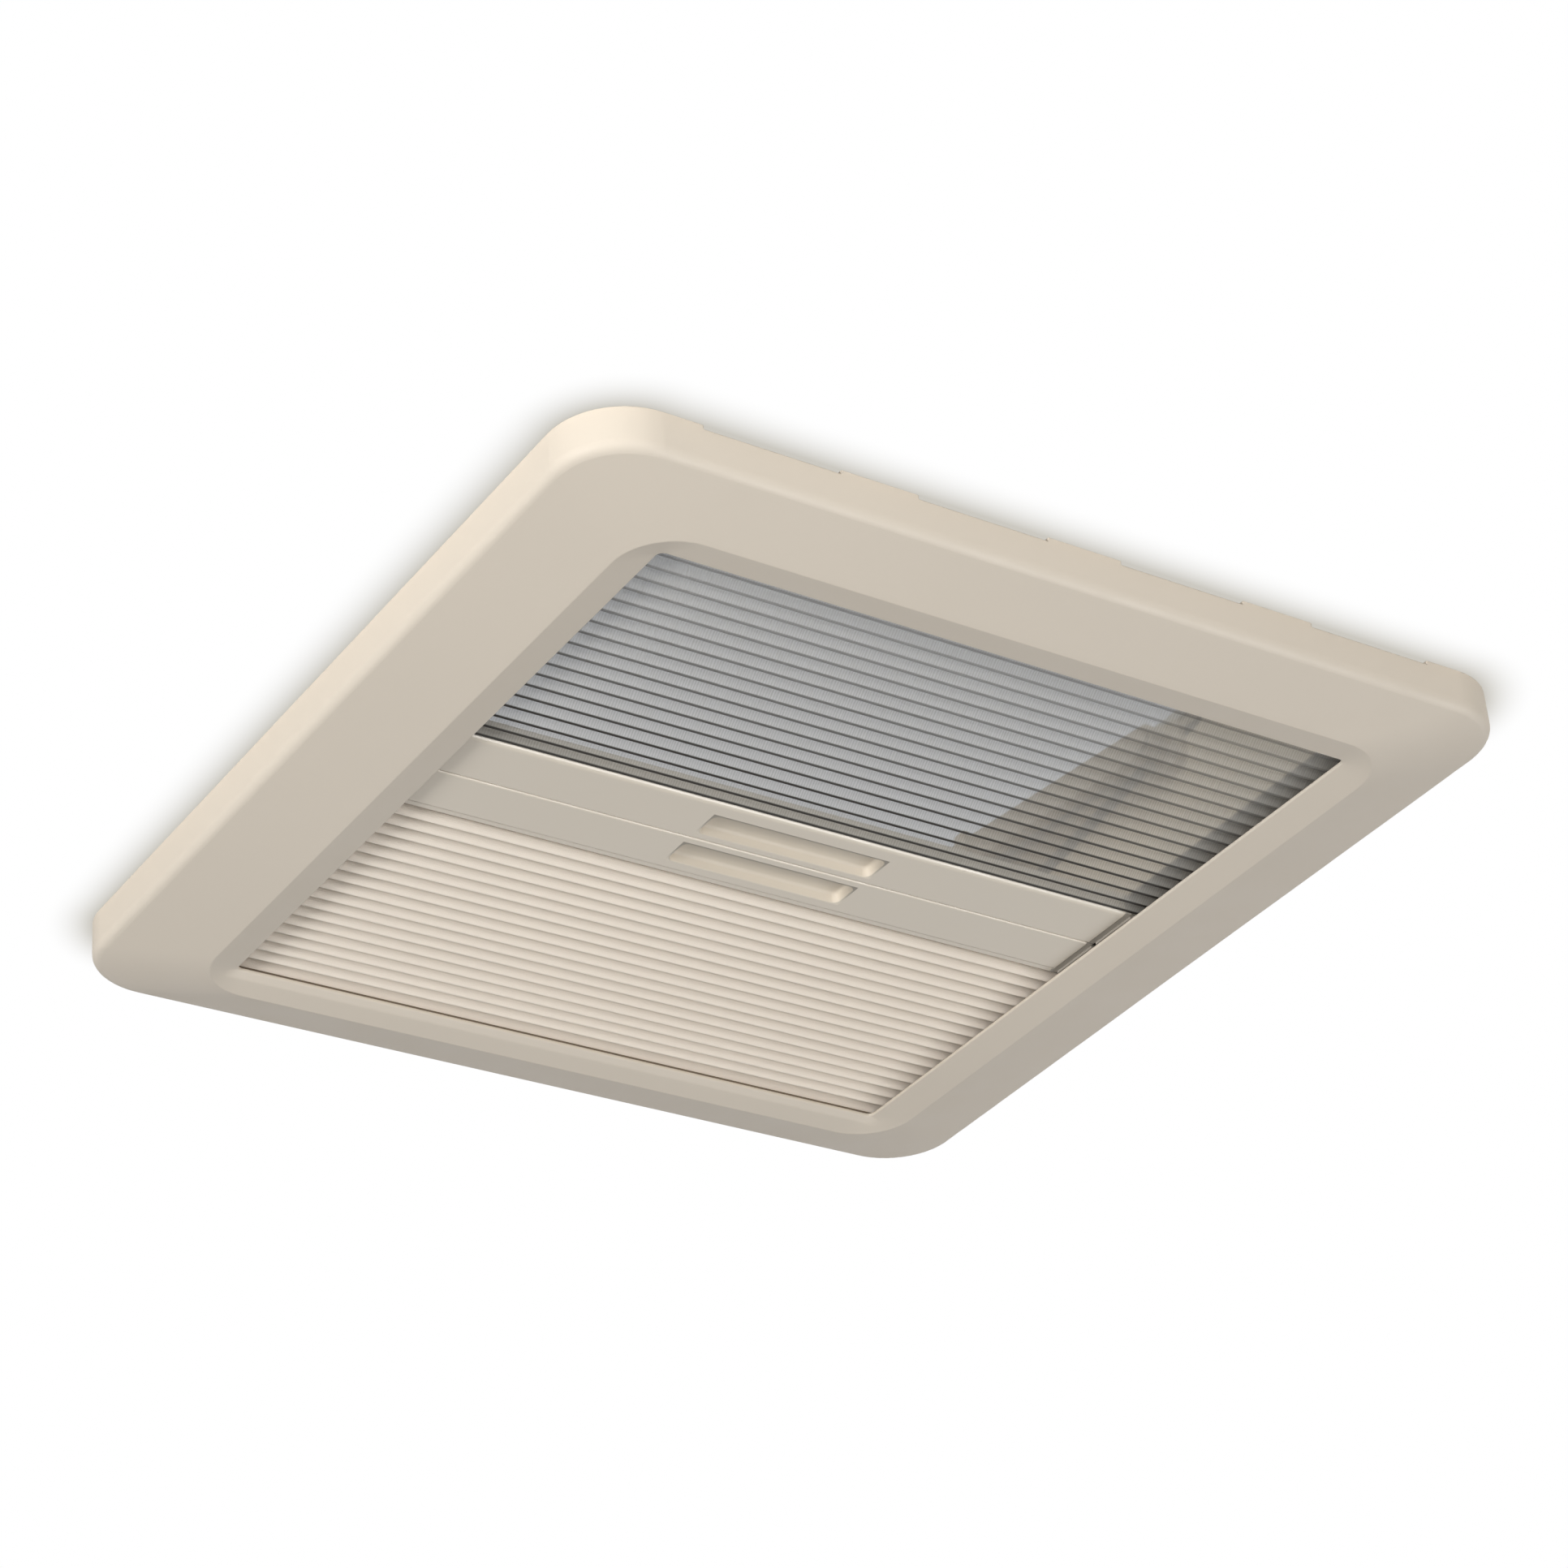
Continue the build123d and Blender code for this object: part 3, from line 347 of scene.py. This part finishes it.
def dished_grips(tree, normal):
    """The normal with the floors of the bars' grips dished, and 1 in the grips, 0 elsewhere."""
    spot = tree.parts()
    beside = tree.sums("SUBTRACT", tree.sums("ABSOLUTE", spot["Y"]), grip_middle_y)
    inside = tree.product(
        tree.within(spot["X"], grip_half_length), tree.within(beside, grip_half_width),
    )
    outwards = tree.product(beside, tree.sums("SIGN", spot["Y"]))
    across = tree.sums("MULTIPLY_ADD", outwards, -grip_dish, grip_dish * grip_dish_foot)
    endways = tree.product(spot["X"], inside, -grip_end_dish)
    return tree.tilted(normal, X=endways, Y=tree.product(across, inside)), inside


def rolled_lip(tree, normal):
    """The normal with the ring's edge beside the blind's end rolled over to the opening."""
    spot = tree.parts()
    past = tree.sums("SUBTRACT", spot["Y"], lip_y)
    sideways = tree.sums("ABSOLUTE", spot["X"])
    share = tree.product(
        tree.ramp(past, lip_roll_start, lip_roll_end, 1.0, 0.0),
        tree.ramp(sideways, lip_half_length, lip_half_length + lip_corner, 1.0, 0.0),
        tree.sums("GREATER_THAN", past, 0.0),
        tree.sums("LESS_THAN", spot["Z"], lip_top_z),
    )
    return tree.tilted(normal, Y=tree.product(share, -lip_roll))


def moulded_plastic(
    name, colour, roughness, shine=0.4, arris=0.0005, relief=0.00003,
    groove=None, grip=False, lip=False,
):
    """Satin moulded plastic: slow changes of tone, a fine spark-eroded grain, rounded arrises.

    groove is a colour painted on the floors of the grooves in the collar's side walls, as shade.
    With grip, the bars' grips get softly dished floors, and with lip, the ceiling frame's ring
    rolls softly over to the opening beside the blind's end.
    """
    tree = material_tree(name)
    tone = tree.grain(scale=7, detail=3)
    speckle = tree.grain(scale=1400, detail=1)
    mottle = tree.weighed(tone, speckle, plastic_speckle_share)
    base = tree.mottled(mottle, colour, plastic_colour_spread)
    polish = tree.varied(
        tree.grain(scale=45, detail=4),
        roughness - plastic_roughness_spread, roughness + plastic_roughness_spread,
    )
    normal = tree.arris(arris, samples=6) if arris else None
    if grip:
        normal, inside = dished_grips(tree, normal)
        polish = tree.sums("MULTIPLY_ADD", inside, grip_roughening, polish)
    if lip:
        normal = rolled_lip(tree, normal)
    # Painted shade on the floors of the grooves.
    if groove:
        base = tree.shades(in_grooves(tree), base, groove)
    return tree.finish(tree.principled(
        Base_Color=base,
        Roughness=polish,
        IOR=plastic_index,
        Specular_IOR_Level=shine,
        Normal=tree.bump(tree.grain(scale=2600, detail=2), relief, normal),
    ))


def clear_acrylic(name, haze):
    """Clear polished sheet that lets lamps through: a mirror at a slant, with a trace of dust."""
    tree = material_tree(name)
    dust = tree.ramp(tree.grain(scale=260, detail=4), dust_low, dust_high, 0.0, acrylic_dust)
    slant = tree.add("LayerWeight", {"Blend": 0.5}).outputs["Facing"]
    steep = tree.sums("POWER", slant, acrylic_slant_power)
    mirror = tree.sums("MULTIPLY_ADD", steep, acrylic_slant_mirror, acrylic_mirror)
    gloss = tree.principled(
        Base_Color=(*acrylic_colour, 1),
        Roughness=tree.varied(tree.grain(scale=30, detail=3), haze, haze + acrylic_haze_spread),
        IOR=acrylic_index,
        Normal=tree.bump(tree.grain(scale=12, detail=1), distance=0.0002),
    )
    share = tree.sums("ADD", mirror, dust, clamp=True)
    return tree.finish(tree.mixed(share, tree.clear(acrylic_tint), gloss))


def plated_metal(name, colour, roughness):
    """Plated steel: metal with faint turning marks and a slightly cloudy polish."""
    tree = material_tree(name)
    cloud = tree.grain(scale=300, detail=3)
    marks = tree.grain(scale=1800, detail=2, stretch=(1, 1, 6))
    return tree.finish(tree.principled(
        Base_Color=tree.mottled(cloud, colour, spread=0.1),
        Metallic=1.0,
        Roughness=tree.varied(cloud, roughness + steel_polish, roughness + steel_dulling),
        Normal=tree.bump(marks, distance=0.00003),
    ))


def coated_metal(name, colour):
    """Powder-coated aluminium: orange-peel surface with rounded arrises."""
    tree = material_tree(name)
    peel = tree.grain(scale=900, detail=2)
    return tree.finish(tree.principled(
        Base_Color=tree.mottled(tree.grain(scale=20, detail=3), colour, spread=0.05),
        Roughness=tree.varied(peel, low=0.38, high=0.5),
        Specular_IOR_Level=0.5,
        Normal=tree.bump(peel, 0.00006, tree.arris(coating_arris, samples=4)),
    ))


def rubber(name, colour, paling):
    """Matte rubber with a fine grain and a bloom, paling times as bright as the colour."""
    tree = material_tree(name)
    bloom = tree.ramp(tree.grain(scale=90, detail=4), bloom_low, bloom_high)
    return tree.finish(tree.principled(
        Base_Color=tree.shades(bloom, colour, scaled(colour, paling)),
        Roughness=tree.varied(tree.grain(scale=400, detail=2), low=0.7, high=0.85),
        Normal=tree.bump(tree.grain(scale=1500, detail=2), distance=0.00008),
    ))


def cloth_place(tree, width, pleat_length):
    """Pleats from the bar, and the place in metres on the cloth laid flat, from its UV map."""
    spot = tree.parts(tree.add("UVMap", uv_map="cloth").outputs["UV"])
    pleats = tree.product(spot["Y"], pleat_count)
    flat = tree.add("CombineXYZ", {
        "X": tree.product(spot["X"], width),
        "Y": tree.product(pleats, pleat_length),
    })
    return pleats, flat.outputs["Vector"]


def blind_fabric(name, width, pleat_length):
    """Dense cream cloth: plain weave, faint slubs, painted shade in its folds' roots, a glow of the
    sky.
    """
    tree = material_tree(name)
    pleats, flat = cloth_place(tree, width, pleat_length)
    warp, weft = (
        tree.add(
            "TexWave", {"Vector": flat, "Scale": blind_weave_scale, "Distortion": 0.6},
            bands_direction=axis,
        ).outputs["Fac"]
        for axis in ("X", "Y")
    )
    weave = tree.product(warp, weft)
    slub = tree.grain(scale=260, detail=3, where=tree.stretched(flat, (1, 9, 1)))
    clean = tree.shades(
        tree.weighed(slub, weave, blind_weave_share),
        scaled(blind_colour, blind_dark_share), scaled(blind_colour, blind_light_share),
    )
    # Painted shade: the colour darkens towards blind_fold_shade in the roots of the folds.
    from_root = tree.sums("ABSOLUTE", tree.sums("SUBTRACT", tree.sums("FRACT", pleats), 0.5))
    root = tree.ramp(from_root, blind_root_start, blind_root_end, 1.0, 0.0)
    shade = tree.shades(root, (1, 1, 1), blind_fold_shade)
    colour = tree.add(
        "Mix", {"Factor": 1.0, 6: clean, 7: shade}, data_type="RGBA", blend_type="MULTIPLY",
    ).outputs[2]
    face = tree.principled(
        Base_Color=colour,
        Roughness=0.85,
        Specular_IOR_Level=0.2,
        Sheen_Weight=0.15,
        Sheen_Roughness=0.5,
        Normal=tree.bump(weave, distance=0.00006),
    )
    glow = tree.add("BsdfTranslucent", {"Color": colour}).outputs[0]
    return tree.finish(tree.mixed(blind_translucency, face, glow))


def screen_line(tree, pleats):
    """How far the flyscreen's dark lines show: one on each low fold, and painted shade beside
    the bar.

    The fold lines are darkest near the bar and grow lighter towards the fixed end.
    """
    whole = tree.sums("FRACT", tree.sums("ADD", pleats, 0.5 + screen_fold_shift))
    past_fold = tree.sums("SUBTRACT", whole, 0.5)
    near, far = 1 - screen_line_softness, 1 + screen_line_softness
    folded = tree.product(
        tree.ramp(past_fold, -far * screen_line_before, -near * screen_line_before),
        tree.ramp(past_fold, near * screen_line_after, far * screen_line_after, 1.0, 0.0),
        tree.ramp(pleats, screen_fade_start, pleat_count, 1.0, screen_line_fade, smooth=False),
    )
    # Painted shade in the gap beside the bar.
    bar_shade = tree.ramp(pleats, screen_bar_shade, 2 * screen_bar_shade, 1.0, 0.0)
    return tree.sums("MAXIMUM", folded, bar_shade)


def screen_fabric(name, width, pleat_length):
    """Fine grey mesh: half see-through, streaked along its threads, with dark lines."""
    tree = material_tree(name)
    pleats, flat = cloth_place(tree, width, pleat_length)
    line = screen_line(tree, pleats)
    along = tree.stretched(flat, (1, screen_thread_stretch, 1))
    crossing = tree.stretched(flat, (screen_thread_stretch, 1, 1))
    rib = tree.add(
        "TexWave", {"Vector": along, "Scale": 250, "Distortion": 2.5, "Detail": 1.0},
        bands_direction="X",
    ).outputs["Fac"]
    streak = tree.weighed(tree.grain(scale=1500, detail=1, where=along), rib, screen_rib_share)
    thread = tree.grain(scale=900, detail=2, where=crossing)
    texture = tree.sums(
        "ADD", tree.product(streak, screen_streak_depth), tree.product(thread, screen_thread_depth),
    )
    thinnest = screen_opacity - (screen_streak_depth + screen_thread_depth) / 2
    density = tree.sums("MULTIPLY_ADD", pleats, screen_far_density / pleat_count, thinnest)
    body = tree.sums("ADD", texture, density)
    darker = tree.product(line, tree.sums("SUBTRACT", screen_line_opacity, body))
    threads = tree.principled(
        Base_Color=tree.shades(
            line, tree.mottled(streak, screen_colour, screen_colour_spread), screen_line_colour,
        ),
        Roughness=0.6,
        Specular_IOR_Level=0.1,
        Normal=tree.bump(streak, distance=0.00005),
    )
    return tree.finish(tree.mixed(tree.sums("ADD", darker, body), tree.clear(), threads))


def linked_object(name, data):
    """A new object in the scene."""
    made = bpy.data.objects.new(name, data)
    bpy.context.scene.collection.objects.link(made)
    return made


def fold_corners(start, end, low_z, high_z, shift):
    """Y and Z of the points along a pleated cloth, from its bar at start to its fixed end."""
    corners = []
    for row in range(pleat_count * pleat_steps + 1):
        turn = row / pleat_steps
        swing = math.cos(2 * math.pi * (turn + shift))
        height = 0.5 - math.asin(fold_roundness * swing) / (2 * math.asin(fold_roundness))
        y = start + (end - start) / pleat_count * turn
        corners.append((y, low_z + (high_z - low_z) * height))
    return corners


def pleated_cloth(name, node, body, shift, fabric):
    """A cloth of rounded pleats in the place of a CAD node, from its bar to its fixed end.

    Its folds lie shift of a pleat nearer to the bar than whole pleats would put them. They wander
    a little sideways, but not where the cloth is held.
    """
    low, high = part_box(node)
    side = 1 if high.y > 0 else -1
    start, end = sorted((abs(low.y), abs(high.y)))
    width = high.x - low.x
    corners = fold_corners(start, end, low.z, high.z, shift)
    length = [0.0]
    for before, after in zip(corners, corners[1:]):
        length.append(length[-1] + math.dist(before, after))
    points, spots = [], []
    for row, (y, z) in enumerate(corners):
        held = math.sin(math.pi * row / (len(corners) - 1)) ** 0.5
        fold = round(2 * row / pleat_steps)
        for column in range(cloth_columns + 1):
            share = column / cloth_columns
            x = low.x + width * share
            edge = math.sin(math.pi * share) ** 0.5
            wander = noise.noise(Vector((
                x / fold_wander_length, fold * fold_wander_step, fold_wander_side * side,
            )))
            points.append((x, side * (y + fold_wander * held * edge * wander), z))
            spots.append((share, length[row] / length[-1]))
    wide = cloth_columns + 1
    faces = []
    for row in range(len(corners) - 1):
        for column in range(cloth_columns):
            first = row * wide + column
            faces.append((first, first + 1, first + wide + 1, first + wide))
    mesh = bpy.data.meshes.new(name)
    mesh.from_pydata(points, [], faces)
    layer = mesh.uv_layers.new(name="cloth")
    for loop in mesh.loops:
        layer.data[loop.index].uv = spots[loop.vertex_index]
    mesh.polygons.foreach_set("use_smooth", [True] * len(mesh.polygons))
    mesh.update()
    cloth = linked_object(name, mesh)
    mesh.materials.append(fabric(name + "_fabric", width, length[-1] / pleat_count))
    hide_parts(node)
    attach(cloth, body)
    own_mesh(cloth)


def dress(material, *names):
    """Gives CAD nodes a material."""
    for name in names:
        mesh = nodes[name].data
        mesh.materials.clear()
        mesh.materials.append(material)


def dress_plastics():
    """The frame's, bars' and dome's plastics. What lies behind the mesh has plain arrises."""
    dress(
        moulded_plastic("shell_plastic", shell_colour, 0.48, shine=0.2, arris=0.0008, lip=True),
        "ceiling_frame",
    )
    dress(
        moulded_plastic(
            "well_plastic", well_colour, 0.5, shine=0.3, arris=0, groove=groove_shade_colour,
        ),
        "roof_frame", "adapter_frame",
    )
    # Rails, corners and end profiles: dark plastic, partly painted shade in the rails and gaps.
    dress(
        moulded_plastic("channel_plastic", channel_and_shade_colour, 0.5, shine=0.3, arris=0),
        "side_rail_left", "side_rail_right", "screen_corners",
        "flyscreen_end_profile", "blind_end_profile",
    )
    dress(
        moulded_plastic("bar_plastic", bar_colour, 0.33, shine=0.5, relief=0.00002, grip=True),
        "flyscreen_bar", "blind_bar",
    )
    dress(
        moulded_plastic("cap_plastic", cap_colour, 0.5),
        "flyscreen_bar_caps", "blind_bar_caps",
    )
    dress(moulded_plastic("dome_rim_plastic", dome_rim_colour, 0.36), "dome_rim")
    dress(
        moulded_plastic("fitting_plastic", fitting_colour, 0.45),
        "dome_rails", "bow_shoes", "hinge_brackets", "hinge_leaves",
    )
    dress(
        moulded_plastic("bracket_plastic", bracket_colour, 0.5, shine=0.3, arris=0),
        "bow_brackets", "bow_rest_clips",
    )


def dress_the_rest():
    """The panes, the seals and all that is of metal."""
    dress(clear_acrylic("outer_acrylic", haze=0.03), "dome_outer_pane")
    dress(clear_acrylic("inner_acrylic", haze=0.05), "dome_inner_pane")
    dress(rubber("dome_seal_rubber", seal_colour, paling=1.12), "dome_seal")
    dress(rubber("gasket_rubber", rubber_colour, paling=1.9), "roof_gasket")
    dress(
        coated_metal("bow_metal", bow_colour),
        "bow_arm_left", "bow_arm_right", "bow_crossbar", "bow_pivot_pins", "bow_bracket_screws",
    )
    dress(
        plated_metal("steel", steel_colour, 0.34),
        "clamp_screws", "corner_screws", "hinge_pins", "hinge_bracket_screws",
        "hinge_leaf_screws", "rest_clip_screws", "rail_screws", "frame_clips",
    )
    dress(
        plated_metal("magnet", magnet_colour, 0.28),
        "flyscreen_bar_magnets", "blind_bar_magnets",
    )


def ceiling_paint():
    """White ceiling seen from below, with a shadow painted beside the frame, and nothing seen from
    above.
    """
    tree = material_tree("ceiling_paint")
    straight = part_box("ceiling_frame")[1].x - frame_corner
    from_middle = tree.vectors("ABSOLUTE", tree.place((1, 1, 0)))
    past = tree.vectors("SUBTRACT", from_middle, (straight, straight, 0))
    outside = tree.vectors("MAXIMUM", past)
    away = tree.add("VectorMath", {0: outside}, operation="LENGTH").outputs["Value"]
    # Painted shadow: the ceiling's seen colour darkens near the frame.
    near = tree.ramp(away, frame_corner, frame_corner + shade_reach, 1.0, 0.0, smooth=False)
    shade = tree.shades(tree.product(near, near), (1, 1, 1), shade_colour)
    seen = tree.add("Emission", {"Color": shade}).outputs[0]
    lit = tree.add("BsdfDiffuse", {"Color": (*ceiling_colour, 1)}).outputs[0]
    front = tree.mixed(tree.add("LightPath").outputs["Is Camera Ray"], lit, seen)
    behind = tree.add("NewGeometry").outputs["Backfacing"]
    return tree.finish(tree.mixed(behind, front, tree.clear()))


def floor_paint():
    """Pale floor that only the camera sees, and only from above, with the object's shadow."""
    tree = material_tree("floor_paint")
    front = tree.sums("SUBTRACT", 1.0, tree.add("NewGeometry").outputs["Backfacing"])
    shown = tree.product(tree.add("LightPath").outputs["Is Camera Ray"], front)
    lit = tree.add("BsdfDiffuse", {"Color": (*floor_colour, 1)}).outputs[0]
    return tree.finish(tree.mixed(shown, tree.clear(), lit))


def staged_mesh(name, points, faces, material):
    """A flat piece of the surroundings."""
    mesh = bpy.data.meshes.new(name)
    mesh.from_pydata(points, [], faces)
    mesh.materials.append(material)
    linked_object(name, mesh)


def square(half, z):
    """Corners of a square, anticlockwise seen from above."""
    return [(-half, -half, z), (half, -half, z), (half, half, z), (-half, half, z)]


def build_stage():
    """A ceiling round the object, open at the cut-out, and a floor under it."""
    points = square(stage_half, ceiling_z) + square(cutout_half, ceiling_z)
    faces = [(turn, turn + 4, (turn + 1) % 4 + 4, (turn + 1) % 4) for turn in range(4)]
    staged_mesh("ceiling", points, faces, ceiling_paint())
    floor_z = cad_box[0][2] - floor_gap
    staged_mesh("floor", square(stage_half, floor_z), [(0, 1, 2, 3)], floor_paint())


def build_lamps():
    """Soft round lamps that face the object's middle and that the camera doesn't see."""
    for name, (place, width, light) in lamps.items():
        place = Vector(place)
        lamp = bpy.data.lights.new(name, "AREA")
        lamp.shape = "DISK"
        lamp.size = width
        lamp.energy = light * math.pi * place.length_squared
        made = linked_object(name, lamp)
        made.location = place
        made.rotation_euler = place.to_track_quat("Z", "Y").to_euler()
        made.visible_camera = False
        made.visible_diffuse = name != "glint"


def build_world():
    """A world that is a pale sky where it is seen and dim where it only lights."""
    tree = Tree(bpy.data.worlds.new("surroundings"))
    ray = tree.add("LightPath").outputs
    seen = tree.sums("MAXIMUM", ray["Is Camera Ray"], ray["Is Glossy Ray"])
    seen = tree.sums("MAXIMUM", seen, ray["Is Transmission Ray"])
    background = tree.add("Background", {
        "Color": tree.shades(seen, ambient_colour, sky_colour),
        "Strength": tree.ramp(seen, 0.0, 1.0, world_ambient, 1.0, smooth=False),
    })
    bpy.context.scene.world = tree.finish(background.outputs[0], "OutputWorld")


def build_camera():
    """The photograph's camera."""
    data = bpy.data.cameras.new("camera")
    data.sensor_width = camera_sensor
    data.lens = camera_lens
    camera = linked_object("camera", data)
    up = -camera_down
    back = camera_right.cross(up)
    turned = Matrix((camera_right, up, back)).transposed().to_4x4()
    camera.matrix_world = Matrix.Translation(camera_place) @ turned
    bpy.context.scene.camera = camera


dress_plastics()
dress_the_rest()
pleated_cloth(
    "flyscreen_pleats", "flyscreen_cloth", "frame",
    screen_fold_shift, screen_fabric,
)
pleated_cloth(
    "blind_pleats", "blind_cloth", "frame",
    0.0, blind_fabric,
)
build_stage()
build_lamps()
build_world()
build_camera()
bpy.context.scene.view_settings.view_transform = "Standard"
